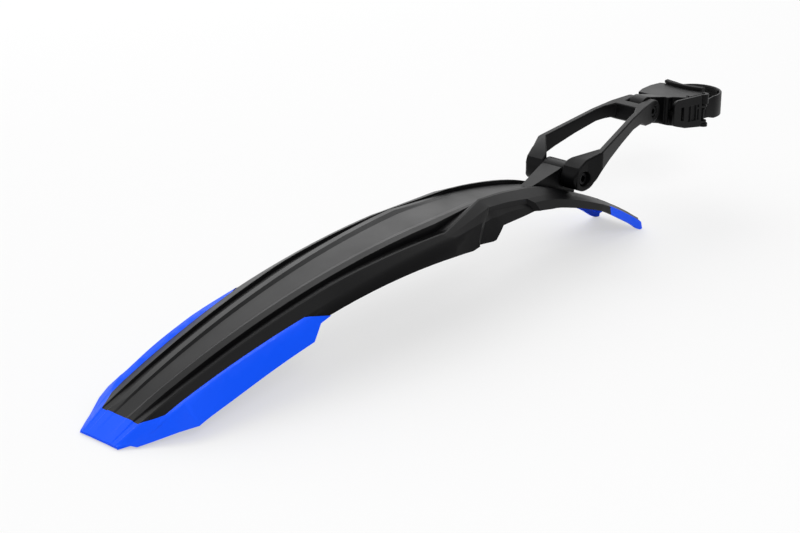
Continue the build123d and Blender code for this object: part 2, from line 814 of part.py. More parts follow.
with BuildPart() as strap_anchor_pin:
    with BuildSketch(level(pin_bottom)):
        with Locations(far(anchor_run, anchor_out)):
            Circle(anchor_pin_radius)
    extrude(amount=anchor_top - pin_bottom)

# Ratchet lever with its two flanges
plate_inner = lever_outer - lever_plate
flange_end = lever_start + 6.5
flange_foot = lever_pin_out - lever_boss_radius
flange_outline = [
    near(lever_pin_run, lever_outer), near(flange_end, lever_outer), near(flange_end, plate_inner),
    near(lever_pin_run + 1.6, flange_foot), near(lever_pin_run - 1.0, flange_foot),
    near(lever_pin_run - lever_eye_radius, lever_pin_out),
]
plate_outline = [
    (lever_start, lever_bottom), (lever_knee, lever_knee_bottom), (lever_end, lever_end_bottom),
    (lever_end, lever_top), (lever_start, lever_top),
]
pawl_place = near(lever_pin_run + 0.3, lever_pin_out - pawl_offset)
PLATE = NEAR_RUN.offset(strap_outer - lever_outer)
with BuildPart() as ratchet_lever:
    with BuildSketch(PLATE) as plate:
        with BuildLine():
            Polyline(plate_outline, close=True)
        make_face()
        fillet(plate.vertices().group_by(Axis.X)[-1].sort_by(Axis.Y)[-1], radius=lever_round)
        fillet(plate.vertices().group_by(Axis.X)[-1].sort_by(Axis.Y)[0], radius=lever_foot_round)
        with Locations((grip_slot, grip_level)):
            Rectangle(grip_width, grip_height, mode=Mode.SUBTRACT)
    extrude(amount=lever_plate)
    with BuildSketch(PLATE):
        with Locations(((panel_start + panel_stop) / 2, panel_level)):
            Rectangle(panel_stop - panel_start, panel_height)
        with Locations(*[(run, panel_level) for run in panel_ribs]):
            Rectangle(rib_width, panel_height, mode=Mode.SUBTRACT)
    extrude(amount=panel_depth, mode=Mode.SUBTRACT)
    for base in (-flange_outer, flange_outer - flange_thickness):
        with BuildSketch(level(base)):
            with BuildLine():
                Polyline(flange_outline, close=True)
            make_face()
            with Locations(near(lever_pin_run, lever_pin_out)):
                Circle(lever_eye_radius)
                Circle(lever_pin_radius + bore_clearance, mode=Mode.SUBTRACT)
            with Locations(pawl_place):
                Circle(pawl_pin_radius, mode=Mode.SUBTRACT)
        extrude(amount=flange_thickness)

with BuildPart() as lever_pin:
    with BuildSketch(level(pin_bottom)):
        with Locations(near(lever_pin_run, lever_pin_out)):
            Circle(lever_pin_radius)
    extrude(amount=block_top - pin_recess - pin_bottom)

# Drive pawl on the lever
with BuildPart() as drive_pawl:
    with BuildSketch(level(-pawl_half)):
        with BuildLine():
            Polyline(
                [
                    near(lever_pin_run + 0.3, lever_pin_out - pawl_offset + pawl_eye_radius),
                    near(lever_pin_run + 5.0, tooth_top + 1.7),
                    near(lever_pin_run + 6.6, tooth_top + 1.3),
                    near(lever_pin_run + 6.6, tooth_top + slide_gap),
                    near(lever_pin_run + 5.0, tooth_top + slide_gap + 0.1),
                    near(lever_pin_run + 0.3, lever_pin_out - pawl_offset - pawl_eye_radius),
                ],
                close=True,
            )
        make_face()
        with Locations(pawl_place):
            Circle(pawl_eye_radius)
            Circle(pawl_pin_radius + bore_clearance, mode=Mode.SUBTRACT)
    extrude(amount=2 * pawl_half)

with BuildPart() as drive_pawl_pin:
    with BuildSketch(level(-flange_outer)):
        with Locations(pawl_place):
            Circle(pawl_pin_radius)
    extrude(amount=2 * flange_outer)

# Holding pawl in the block, its tip between two teeth
tip_run = run_length - run_margin - 2 * tooth_pitch - slide_gap
tip_out = strap_outer + slide_gap
with BuildPart() as holding_pawl:
    with BuildSketch(level(-holding_half)):
        with BuildLine():
            Polyline(
                [
                    near(holding_pin_run, holding_pin_out + holding_eye_radius),
                    near(tip_run - 0.8, tip_out + 3.0),
                    near(tip_run, tip_out + 1.8),
                    near(tip_run, tip_out),
                    near(tip_run - 2.4, tip_out + 1.3),
                    near(holding_pin_run, holding_pin_out - holding_eye_radius),
                ],
                close=True,
            )
        make_face()
        with Locations(near(holding_pin_run, holding_pin_out)):
            Circle(holding_eye_radius)
            Circle(holding_pin_radius + bore_clearance, mode=Mode.SUBTRACT)
    extrude(amount=holding_half + pawl_half)

with BuildPart() as holding_pawl_pin:
    with BuildSketch(level(pin_bottom)):
        with Locations(near(holding_pin_run, holding_pin_out)):
            Circle(holding_pin_radius)
    extrude(amount=block_top - pin_recess - pin_bottom)

# Coil springs of the two pawls
spring_height = flange_outer - flange_thickness - pawl_half - spring_wire - slide_gap
spring_base = pawl_half + spring_wire / 2 + slide_gap
drive_centre = (*near(lever_pin_run, lever_pin_out), spring_base)
holding_centre = (*near(holding_pin_run, holding_pin_out), spring_base)
with BuildPart() as drive_pawl_spring:
    with BuildLine() as drive_coil:
        Helix(spring_pitch, spring_height, spring_radius, center=drive_centre)
    with BuildSketch(Plane(origin=drive_coil.line @ 0, z_dir=drive_coil.line % 0)):
        Rectangle(spring_wire, spring_wire)
    sweep()

with BuildPart() as holding_pawl_spring:
    with BuildLine() as holding_coil:
        Helix(spring_pitch, spring_height, spring_radius, center=holding_centre)
    with BuildSketch(Plane(origin=holding_coil.line @ 0, z_dir=holding_coil.line % 0)):
        Rectangle(spring_wire, spring_wire)
    sweep()

os.makedirs("parts", exist_ok=True)

blade_shell.part.label = "blade_shell"
export_step(blade_shell.part, "parts/blade_shell.step")
tail_trim.part.label = "tail_trim"
export_step(tail_trim.part, "parts/tail_trim.step")
nose_trim_left.part.label = "nose_trim_left"
export_step(nose_trim_left.part, "parts/nose_trim_left.step")
nose_trim_right.part.label = "nose_trim_right"
export_step(nose_trim_right.part, "parts/nose_trim_right.step")
arm.part.label = "arm"
export_step(arm.part, "parts/arm.step")
blade_pivot_bolt.part.label = "blade_pivot_bolt"
export_step(blade_pivot_bolt.part, "parts/blade_pivot_bolt.step")
blade_pivot_nut.part.label = "blade_pivot_nut"
export_step(blade_pivot_nut.part, "parts/blade_pivot_nut.step")
clamp_pivot_bolt.part.label = "clamp_pivot_bolt"
export_step(clamp_pivot_bolt.part, "parts/clamp_pivot_bolt.step")
clamp_pivot_nut.part.label = "clamp_pivot_nut"
export_step(clamp_pivot_nut.part, "parts/clamp_pivot_nut.step")
clamp_body.part.label = "clamp_body"
export_step(clamp_body.part, "parts/clamp_body.step")
post_pad.part.label = "post_pad"
export_step(post_pad.part, "parts/post_pad.step")
strap.part.label = "strap"
export_step(strap.part, "parts/strap.step")
strap_liner.part.label = "strap_liner"
export_step(strap_liner.part, "parts/strap_liner.step")
strap_anchor_pin.part.label = "strap_anchor_pin"
export_step(strap_anchor_pin.part, "parts/strap_anchor_pin.step")
ratchet_lever.part.label = "ratchet_lever"
export_step(ratchet_lever.part, "parts/ratchet_lever.step")
lever_pin.part.label = "lever_pin"
export_step(lever_pin.part, "parts/lever_pin.step")
drive_pawl.part.label = "drive_pawl"
export_step(drive_pawl.part, "parts/drive_pawl.step")
drive_pawl_pin.part.label = "drive_pawl_pin"
export_step(drive_pawl_pin.part, "parts/drive_pawl_pin.step")
drive_pawl_spring.part.label = "drive_pawl_spring"
export_step(drive_pawl_spring.part, "parts/drive_pawl_spring.step")
holding_pawl.part.label = "holding_pawl"
export_step(holding_pawl.part, "parts/holding_pawl.step")
holding_pawl_pin.part.label = "holding_pawl_pin"
export_step(holding_pawl_pin.part, "parts/holding_pawl_pin.step")
holding_pawl_spring.part.label = "holding_pawl_spring"
export_step(holding_pawl_spring.part, "parts/holding_pawl_spring.step")
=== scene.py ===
"""Rear bicycle mudguard with a hinged arm and a ratchet clamp, dressed on its CAD frame."""

import json
import logging
import math
from collections.abc import Callable
from dataclasses import dataclass, field
from enum import Enum

import bmesh
import bpy
from mathutils import Matrix, Vector

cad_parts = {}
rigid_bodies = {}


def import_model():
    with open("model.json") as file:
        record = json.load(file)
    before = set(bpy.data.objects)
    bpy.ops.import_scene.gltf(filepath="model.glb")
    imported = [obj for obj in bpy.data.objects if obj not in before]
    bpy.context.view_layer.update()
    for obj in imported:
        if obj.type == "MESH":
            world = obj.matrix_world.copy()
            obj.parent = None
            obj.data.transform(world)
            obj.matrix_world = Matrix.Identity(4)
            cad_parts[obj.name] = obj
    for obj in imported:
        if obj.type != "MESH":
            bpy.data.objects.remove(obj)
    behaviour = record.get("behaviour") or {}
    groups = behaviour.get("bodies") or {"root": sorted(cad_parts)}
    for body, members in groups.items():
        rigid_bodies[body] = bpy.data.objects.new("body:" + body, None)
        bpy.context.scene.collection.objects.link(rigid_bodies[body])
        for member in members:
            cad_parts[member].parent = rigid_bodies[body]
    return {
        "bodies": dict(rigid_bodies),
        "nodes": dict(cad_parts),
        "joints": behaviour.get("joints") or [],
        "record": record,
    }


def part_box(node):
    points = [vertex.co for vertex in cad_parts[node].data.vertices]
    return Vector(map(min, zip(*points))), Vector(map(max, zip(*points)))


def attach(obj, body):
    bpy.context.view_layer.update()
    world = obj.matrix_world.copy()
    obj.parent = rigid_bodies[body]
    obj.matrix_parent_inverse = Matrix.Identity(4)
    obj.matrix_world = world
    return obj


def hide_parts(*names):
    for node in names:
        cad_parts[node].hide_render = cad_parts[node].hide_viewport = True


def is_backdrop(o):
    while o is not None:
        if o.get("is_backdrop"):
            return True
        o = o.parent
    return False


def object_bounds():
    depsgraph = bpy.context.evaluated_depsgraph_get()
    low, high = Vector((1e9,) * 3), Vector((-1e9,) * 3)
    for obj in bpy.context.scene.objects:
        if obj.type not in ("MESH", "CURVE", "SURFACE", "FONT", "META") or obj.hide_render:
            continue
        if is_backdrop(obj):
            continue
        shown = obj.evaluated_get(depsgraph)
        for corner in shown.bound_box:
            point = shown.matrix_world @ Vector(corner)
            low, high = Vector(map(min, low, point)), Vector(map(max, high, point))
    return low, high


LOG = logging.getLogger("mudguard")
MM = 0.001
# Sockets of the Mix node when it blends colours
MIX_COLOURS = (6, 7)
MIX_RESULT = 2


class Body(Enum):
    """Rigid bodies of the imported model."""

    BLADE = "blade"
    ARM = "arm"
    CLAMP = "clamp"
    LEVER = "lever"
    DRIVE_PAWL = "drive_pawl"
    HOLDING_PAWL = "holding_pawl"


class Slot(Enum):
    """Material slots of the record."""

    BLACK = "black_plastic"
    BLUE = "blue_plastic"
    RUBBER = "rubber"
    STEEL = "steel"


class Socket(Enum):
    """Socket types of a geometry tree's named inputs."""

    NUMBER = "NodeSocketFloat"
    COUNT = "NodeSocketInt"
    PLACE = "NodeSocketVector"
    OBJECT = "NodeSocketObject"
    MATERIAL = "NodeSocketMaterial"


def linear(hex_colour: str) -> tuple[float, float, float, float]:
    """Turn an sRGB hex colour to linear light.

    Args:
        hex_colour: Six hex digits with a leading hash.

    Returns:
        Linear red, green, blue and an alpha of one.
    """
    values = [int(hex_colour[i : i + 2], 16) / 255 for i in (1, 3, 5)]
    red, green, blue = (v / 12.92 if v <= 0.04045 else ((v + 0.055) / 1.055) ** 2.4 for v in values)
    return red, green, blue, 1.0


def add_node(
    tree: bpy.types.NodeTree,
    kind: str,
    inputs: dict | None = None,
    links: dict | None = None,
    **settings: object,
) -> bpy.types.Node:
    """Add a node with its settings, input values and incoming links.

    Args:
        tree: Node tree that takes the node.
        kind: Blender's node type name.
        inputs: Input values by socket name or number.
        links: Source sockets by input socket name or number.
        settings: Node properties.

    Returns:
        The new node.
    """
    node = tree.nodes.new(kind)
    for name, value in settings.items():
        setattr(node, name, value)
    for name, value in (inputs or {}).items():
        node.inputs[name].default_value = value
    for name, source in (links or {}).items():
        tree.links.new(source, node.inputs[name])
    return node


@dataclass(frozen=True)
class Ground:
    """A new material whose base colour wanders between two tones in patches."""

    material: bpy.types.Material
    shader: bpy.types.Node
    place: bpy.types.NodeSocket
    patches: bpy.types.NodeSocket

    @classmethod
    def lay(cls, name: str, tones: tuple[str, str], patch_mm: float, detail: float) -> "Ground":
        """Start a material with its patches of tone.

        Args:
            name: Name of the material.
            tones: The two colours as sRGB hex.
            patch_mm: Size of a patch.
            detail: Octaves of the patches' noise.

        Returns:
            The started material, which reads Object coordinates in metres.
        """
        material = bpy.data.materials.new(name)
        material.use_nodes = True
        tree = material.node_tree
        shader = tree.nodes["Principled BSDF"]
        place = add_node(tree, "ShaderNodeTexCoord").outputs["Object"]
        noise = add_node(
            tree,
            "ShaderNodeTexNoise",
            {"Scale": 1 / (patch_mm * MM), "Detail": detail},
            {"Vector": place},
        )
        patches = noise.outputs["Fac"]
        colours = zip(MIX_COLOURS, (linear(tone) for tone in tones))
        blend = add_node(tree, "ShaderNodeMix", dict(colours), {0: patches}, data_type="RGBA")
        tree.links.new(blend.outputs[MIX_RESULT], shader.inputs["Base Color"])
        return cls(material, shader, place, patches)

    def gloss(self, span: tuple[float, float], roughness: tuple[float, float]) -> None:
        """Let the roughness follow the patches.

        Args:
            span: Patch values between which the roughness changes.
            roughness: Roughness at the two ends.
        """
        tree = self.material.node_tree
        ends = dict(zip(("From Min", "From Max", "To Min", "To Max"), (*span, *roughness)))
        gloss = add_node(tree, "ShaderNodeMapRange", ends, {"Value": self.patches})
        tree.links.new(gloss.outputs["Result"], self.shader.inputs["Roughness"])

    def relief(self, height: bpy.types.NodeSocket, strength: float, depth_mm: float) -> None:
        """Raise a fine relief on the surface.

        Args:
            height: Pattern of the relief.
            strength: Share of the relief that shows.
            depth_mm: Depth of the relief.
        """
        tree = self.material.node_tree
        values = {"Strength": strength, "Distance": depth_mm * MM}
        bump = add_node(tree, "ShaderNodeBump", values, {"Height": height})
        tree.links.new(bump.outputs["Normal"], self.shader.inputs["Normal"])


@dataclass(frozen=True)
class MouldedPlastic:
    """Injection-moulded polypropylene: satin sheen, eroded grain and faint flow mottling."""

    name: str
    tones: tuple[str, str]
    slot: Slot
    roughness: float
    specular: float = 0.12
    ior: float = 1.49
    flow_mm: float = 38.0
    flow_detail: float = 3.0
    flow_span: tuple[float, float] = (0.3, 0.7)
    gloss_change: tuple[float, float] = (-0.04, 0.05)
    grain_mm: float = 0.9
    grain_detail: float = 4.0
    grain_strength: float = 0.35
    grain_depth_mm: float = 0.03

    def material(self) -> bpy.types.Material:
        """Build the node material.

        Returns:
            The finished material.
        """
        # The melt front leaves slow cloudy changes of tone and gloss over the wall
        ground = Ground.lay(self.name, self.tones, self.flow_mm, self.flow_detail)
        low, high = self.gloss_change
        ground.gloss(self.flow_span, (self.roughness + low, self.roughness + high))
        # The eroded mould's grain is about 0.1 mm, too fine to show, so it is drawn at grain_mm
        grain = add_node(
            ground.material.node_tree,
            "ShaderNodeTexNoise",
            {"Scale": 1 / (self.grain_mm * MM), "Detail": self.grain_detail},
            {"Vector": ground.place},
        )
        ground.relief(grain.outputs["Fac"], self.grain_strength, self.grain_depth_mm)
        ground.shader.inputs["IOR"].default_value = self.ior
        ground.shader.inputs["Specular IOR Level"].default_value = self.specular
        return ground.material


@dataclass(frozen=True)
class MouldedRubber:
    """Moulded EPDM rubber: matt, slightly dusty black with a soft pebbled skin."""

    name: str
    tones: tuple[str, str]
    slot: Slot
    roughness: float = 0.72
    specular: float = 0.25
    ior: float = 1.52
    dust_mm: float = 9.0
    dust_detail: float = 5.0
    pebble_mm: float = 1.4
    pebble_strength: float = 0.25
    pebble_depth_mm: float = 0.04

    def material(self) -> bpy.types.Material:
        """Build the node material.

        Returns:
            The finished material.
        """
        # Talc from the mould stays in patches and greys the black
        ground = Ground.lay(self.name, self.tones, self.dust_mm, self.dust_detail)
        # The skin's pebbles are about 0.2 mm, too fine to show, so they are drawn at pebble_mm
        pebble = add_node(
            ground.material.node_tree,
            "ShaderNodeTexVoronoi",
            {"Scale": 1 / (self.pebble_mm * MM)},
            {"Vector": ground.place},
        )
        ground.relief(pebble.outputs["Distance"], self.pebble_strength, self.pebble_depth_mm)
        ground.shader.inputs["Roughness"].default_value = self.roughness
        ground.shader.inputs["IOR"].default_value = self.ior
        ground.shader.inputs["Specular IOR Level"].default_value = self.specular
        return ground.material


@dataclass(frozen=True)
class BlackOxideSteel:
    """Turned and black-oxidised steel: dark metal whose oxide is worn bright in small patches."""

    name: str
    tones: tuple[str, str]
    slot: Slot
    roughness: float = 0.38
    metallic: float = 0.9
    wear_mm: float = 2.5
    wear_detail: float = 6.0
    wear_span: tuple[float, float] = (0.0, 1.0)
    gloss_change: tuple[float, float] = (0.12, -0.08)

    def material(self) -> bpy.types.Material:
        """Build the node material.

        Returns:
            The finished material.
        """
        # Handling rubs the oxide thin, which shows as paler and smoother spots
        ground = Ground.lay(self.name, self.tones, self.wear_mm, self.wear_detail)
        low, high = self.gloss_change
        ground.gloss(self.wear_span, (self.roughness + low, self.roughness + high))
        ground.shader.inputs["Metallic"].default_value = self.metallic
        return ground.material


@dataclass(frozen=True)
class Dressing:
    """A finish's material with its slot in the record."""

    material: bpy.types.Material
    slot: Slot


@dataclass
class Finishes:
    """The finishes of the mudguard, each made once."""

    black: Dressing = field(init=False)
    blue: Dressing = field(init=False)
    rubber: Dressing = field(init=False)
    steel: Dressing = field(init=False)

    def __post_init__(self) -> None:
        """Build every finish."""
        finishes = (
            MouldedPlastic(
                "black_moulded_polypropylene", ("#070708", "#0B0B0C"), Slot.BLACK, roughness=0.38
            ),
            MouldedPlastic(
                "blue_moulded_polypropylene", ("#0052FF", "#0556FF"), Slot.BLUE, roughness=0.5
            ),
            MouldedRubber("black_moulded_rubber", ("#080808", "#111111"), Slot.RUBBER),
            BlackOxideSteel("black_oxide_steel", ("#0C0C0D", "#1E1E20"), Slot.STEEL),
        )
        self.black, self.blue, self.rubber, self.steel = (
            Dressing(finish.material(), finish.slot) for finish in finishes
        )


def settle(piece: bpy.types.Object, node: str, body: Body) -> None:
    """Let a piece stand for a CAD node and ride on its body.

    Args:
        piece: The finished piece.
        node: CAD node that the piece replaces.
        body: Body that carries the piece.
    """
    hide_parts(node)
    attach(piece, body.value)
    LOG.info("piece %s on %s", piece.name, body.value)


@dataclass(frozen=True)
class SoftFold:
    """A long fold with a rounded corner, told from the crisp ones by place and angle."""

    half_mm: float
    end_mm: float
    low_deg: float
    high_deg: float

    def holds(self, edge: bmesh.types.BMEdge) -> bool:
        """Tell whether an edge is on the fold.

        Args:
            edge: Edge of the welded copy.

        Returns:
            True outside half_mm and behind end_mm, where the angle fits.
        """
        middle = (edge.verts[0].co + edge.verts[1].co) / 2 / MM
        turn = math.degrees(edge.calc_face_angle(0.0))
        placed = abs(middle.y) > self.half_mm and middle.x < self.end_mm
        return placed and self.low_deg < turn < self.high_deg


@dataclass(frozen=True)
class Skin:
    """A welded copy of a CAD node with smooth faces, kept creases and rounded edges."""

    frame: dict
    # Folds above these angles stay sharp, where they run across and along the part
    across_deg: float = 24.0
    along_deg: float = 24.0
    soft: SoftFold | None = None
    along_share: float = 0.75
    flat_deg: float = 0.4
    weld_mm: float = 0.002
    round_deg: float = 32.0
    round_steps: int = 3

    def build(
        self,
        node: str,
        body: Body,
        dressing: Dressing,
        edge_mm: float = 0.0,
        shape: Callable[[bmesh.types.BMesh], None] | None = None,
    ) -> None:
        """Copy the node and let the copy stand for it.

        Args:
            node: CAD node that the piece replaces.
            body: Body that carries the piece.
            dressing: Finish of the piece.
            edge_mm: Width of the rounding on sharp edges, or nothing for none.
            shape: Change of the welded copy's shape, if it has one.
        """
        mesh = self.frame["nodes"][node].data.copy()
        mesh.name = f"{node}_skin"
        work = bmesh.new()
        work.from_mesh(mesh)
        bmesh.ops.remove_doubles(work, verts=work.verts, dist=self.weld_mm * MM)
        if edge_mm:
            bmesh.ops.dissolve_limit(
                work,
                angle_limit=math.radians(self.flat_deg),
                verts=work.verts,
                edges=work.edges,
                use_dissolve_boundaries=False,
            )
        if shape:
            shape(work)
        self.crease(work)
        work.to_mesh(mesh)
        work.free()
        mesh.materials.clear()
        mesh.materials.append(dressing.material)
        piece = bpy.data.objects.new(f"{node}_skin", mesh)
        bpy.context.scene.collection.objects.link(piece)
        if edge_mm:
            rounding = piece.modifiers.new("edge_rounding", "BEVEL")
            rounding.width = edge_mm * MM
            rounding.segments = self.round_steps
            rounding.limit_method = "ANGLE"
            rounding.angle_limit = math.radians(self.round_deg)
            rounding.use_clamp_overlap = False
        settle(piece, node, body)

    def crease(self, work: bmesh.types.BMesh) -> None:
        """Smooth every face and keep the folds sharp, finer ones where they run along the part.

        Args:
            work: Welded mesh of the node.
        """
        for face in work.faces:
            face.smooth = True
            face.material_index = 0
        for edge in work.edges:
            run = (edge.verts[1].co - edge.verts[0].co).normalized()
            turn = math.degrees(edge.calc_face_angle(0.0))
            along = abs(run.x) > self.along_share
            edge.smooth = turn < (self.along_deg if along else self.across_deg)
            if along and self.soft and self.soft.holds(edge):
                edge.smooth = True


@dataclass
class Blade:
    """Faceted blade with its blue tail and nose mouldings."""

    frame: dict
    finishes: Finishes
    fold_deg: float = 2.5
    flank_fold: SoftFold = SoftFold(half_mm=28.5, end_mm=-288.0, low_deg=30.0, high_deg=66.0)
    trim_fold: SoftFold = SoftFold(half_mm=26.0, end_mm=-288.0, low_deg=8.0, high_deg=66.0)
    # The tail trim's front ends reach forwards, out and up, above their foot
    end_mm: tuple[float, float] = (150.1, 155.2)
    end_foot_mm: float = -36.2
    end_reach_mm: tuple[float, float, float] = (7.0, 0.35, 1.8)
    # Stations are measured from the tail's edge, and halves from the middle plane
    tail_x_mm: float = -628.0
    bead_start_mm: float = 24.0
    flare_mm: float = 43.6
    fade_mm: float = 110.0
    trim_mm: float = 158.0
    seam_half_mm: tuple[float, float] = (25.6, 34.3)
    bead_half_mm: tuple[float, float] = (28.4, 37.0)
    rim_half_mm: float = 42.8
    bead_rise_mm: float = 1.7

    def build(self) -> None:
        """Dress the shell and its trims."""
        skin = Skin(self.frame, along_deg=self.fold_deg)
        shell = Skin(self.frame, along_deg=self.fold_deg, soft=self.flank_fold)
        tail = Skin(self.frame, along_deg=self.fold_deg, soft=self.trim_fold)
        shell.build("blade_shell", Body.BLADE, self.finishes.black)
        tail.build("tail_trim", Body.BLADE, self.finishes.blue, shape=self.shape_tail)
        for node in ("nose_trim_left", "nose_trim_right"):
            skin.build(node, Body.BLADE, self.finishes.blue)

    def shape_tail(self, work: bmesh.types.BMesh) -> None:
        """Draw the tail trim's front ends out along the blade's rim, and raise its bead.

        Args:
            work: Welded mesh of the trim.
        """
        first, last = self.end_mm
        forward, out, up = (value * MM for value in self.end_reach_mm)
        for vert in work.verts:
            share = (vert.co.x / MM - self.tail_x_mm - first) / (last - first)
            if share > 0.0 and vert.co.z / MM > self.end_foot_mm:
                vert.co += Vector((forward, math.copysign(out, vert.co.y), up)) * min(share, 1.0)
        self.raise_bead(work)

    def raise_bead(self, work: bmesh.types.BMesh) -> None:
        """Lift the tail trim's long fold out and up into a low bead between its seam and its rim.

        Args:
            work: Welded mesh of the trim.
        """
        for vert in work.verts:
            station = vert.co.x / MM - self.tail_x_mm
            half = abs(vert.co.y) / MM
            share = (station - self.flare_mm) / (self.trim_mm - self.flare_mm)
            ends = (self.seam_half_mm, self.bead_half_mm)
            seam, bead = (low + (high - low) * share for low, high in ends)
            inner = (half - seam) / (bead - seam)
            outer = (self.rim_half_mm - half) / (self.rim_half_mm - bead)
            start = (station - self.bead_start_mm) / (self.flare_mm - self.bead_start_mm)
            end = (self.trim_mm - station) / (self.trim_mm - self.fade_mm)
            lift = self.bead_rise_mm * MM * max(0.0, min(inner, outer, start, end, 1.0))
            vert.co += Vector((0.0, math.copysign(lift, vert.co.y), lift))


@dataclass
class Arm:
    """Two-legged arm with its hinge screws and captive nuts."""

    frame: dict
    finishes: Finishes
    edge_mm: float = 0.9
    weld_mm: float = 0.2
    screw_edge_mm: float = 0.2

    def build(self) -> None:
        """Dress the arm and its fasteners."""
        moulding = Skin(self.frame, weld_mm=self.weld_mm)
        moulding.build("arm", Body.ARM, self.finishes.black, self.edge_mm)
        skin = Skin(self.frame)
        for node in ("blade_pivot_bolt", "blade_pivot_nut", "clamp_pivot_bolt", "clamp_pivot_nut"):
            skin.build(node, Body.ARM, self.finishes.steel, self.screw_edge_mm)


@dataclass
class Clamp:
    """Clamp block with its rubber pad and fixed pins."""

    frame: dict
    finishes: Finishes
    edge_mm: float = 0.6
    pad_edge_mm: float = 0.5

    def build(self) -> None:
        """Dress the block, the pad and the pins."""
        skin = Skin(self.frame)
        skin.build("clamp_body", Body.CLAMP, self.finishes.black, self.edge_mm)
        skin.build("post_pad", Body.CLAMP, self.finishes.rubber, self.pad_edge_mm)
        for node in ("strap_anchor_pin", "lever_pin", "holding_pawl_pin"):
            skin.build(node, Body.CLAMP, self.finishes.steel)


def new_tree(name: str, inputs: dict[str, Socket]) -> bpy.types.GeometryNodeTree:
    """Make a geometry tree with named inputs, a geometry input and a geometry output.

    Args:
        name: Name of the tree.
        inputs: Socket type of each named input.

    Returns:
        The empty tree.
    """
    tree = bpy.data.node_groups.new(name, "GeometryNodeTree")
    tree.interface.new_socket("Geometry", in_out="INPUT", socket_type="NodeSocketGeometry")
    for title, socket in inputs.items():
        tree.interface.new_socket(title, in_out="INPUT", socket_type=socket.value)
    tree.interface.new_socket("Geometry", in_out="OUTPUT", socket_type="NodeSocketGeometry")
    return tree


def close_tree(
    tree: bpy.types.GeometryNodeTree, shape: bpy.types.NodeSocket, finish: bpy.types.NodeSocket
) -> None:
    """End a tree in realized instances with their material.

    Args:
        tree: The tree to end.
        shape: Geometry that it gives.
        finish: Material input of the tree.
    """
    real = add_node(tree, "GeometryNodeRealizeInstances", links={"Geometry": shape})
    dressed = add_node(
        tree,
        "GeometryNodeSetMaterial",
        links={"Geometry": real.outputs["Geometry"], "Material": finish},
    )
    add_node(tree, "NodeGroupOutput", links={"Geometry": dressed.outputs["Geometry"]})


def grown(
    name: str,
    tree: bpy.types.GeometryNodeTree,
    values: dict[str, object],
    base: bpy.types.ID,
    sharp_deg: float,
) -> bpy.types.Object:
    """Run a geometry tree once and keep its result as a plain mesh piece at the origin.

    Args:
        name: Name of the piece.
        tree: Geometry tree.
        values: Input values by the tree's input names.
        base: Mesh or curve data that the tree starts from.
        sharp_deg: Folds above this angle stay sharp.

    Returns:
        The new piece.
    """
    host = bpy.data.objects.new(f"{name}_host", base)
    bpy.context.scene.collection.objects.link(host)
    grower = host.modifiers.new("grower", "NODES")
    grower.node_group = tree
    for item in tree.interface.items_tree:
        if item.in_out == "INPUT" and item.name in values:
            grower[item.identifier] = values[item.name]
    view = bpy.context.evaluated_depsgraph_get()
    mesh = bpy.data.meshes.new_from_object(host.evaluated_get(view), depsgraph=view)
    host.modifiers.remove(grower)
    bpy.data.objects.remove(host)
    mesh.name = name
    for face in mesh.polygons:
        face.use_smooth = True
    mesh.set_sharp_from_angle(angle=math.radians(sharp_deg))
    piece = bpy.data.objects.new(name, mesh)
    bpy.context.scene.collection.objects.link(piece)
    return piece


